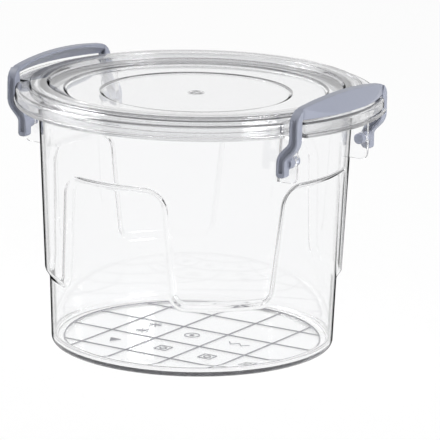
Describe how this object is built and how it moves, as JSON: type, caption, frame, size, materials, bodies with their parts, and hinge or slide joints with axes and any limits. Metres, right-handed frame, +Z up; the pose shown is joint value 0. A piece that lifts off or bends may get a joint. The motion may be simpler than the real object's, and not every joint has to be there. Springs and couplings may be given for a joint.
{
  "type": "clip-lid storage tub",
  "caption": "Round clear plastic tub with stepped wall, gridded floor and flange, a clear lift-off lid with plug ring, and grey swing clips that hook over the lid's tongues",
  "frame": {"origin": "centre of the foot ring's underside, on the table", "axes": "+Z up; X runs from clip to clip; the clips' pivots run along Y"},
  "size_m": [0.274, 0.261, 0.1994],
  "materials": {
    "clear": "clear, polished",
    "clip": "satin grey"
  },
  "bodies": {
    "tub": {"tub": "clear"},
    "lid": {"lid": "clear"},
    "clip_left": {"clip_left": "clip"},
    "clip_right": {"clip_right": "clip"}
  },
  "joints": [
    {"name": "lid_lift", "type": "slide", "parent": "tub", "child": "lid", "axis": [0, 0, 1], "range_m": [0, 0.028]},
    {"name": "clip_right_swing", "type": "hinge", "parent": "tub", "child": "clip_right", "pos_m": [0.1105, 0, 0.1559], "axis": [0, 1, 0], "range_deg": [0, 140]},
    {"name": "clip_left_swing", "type": "hinge", "parent": "tub", "child": "clip_left", "pos_m": [-0.1105, 0, 0.1559], "axis": [0, -1, 0], "range_deg": [0, 140]}
  ],
  "couplings": [
    {"joint": "clip_right_swing", "follows": "lid_lift", "rad_per_m": 87.266},
    {"joint": "clip_left_swing", "follows": "lid_lift", "rad_per_m": 87.266}
  ]
}
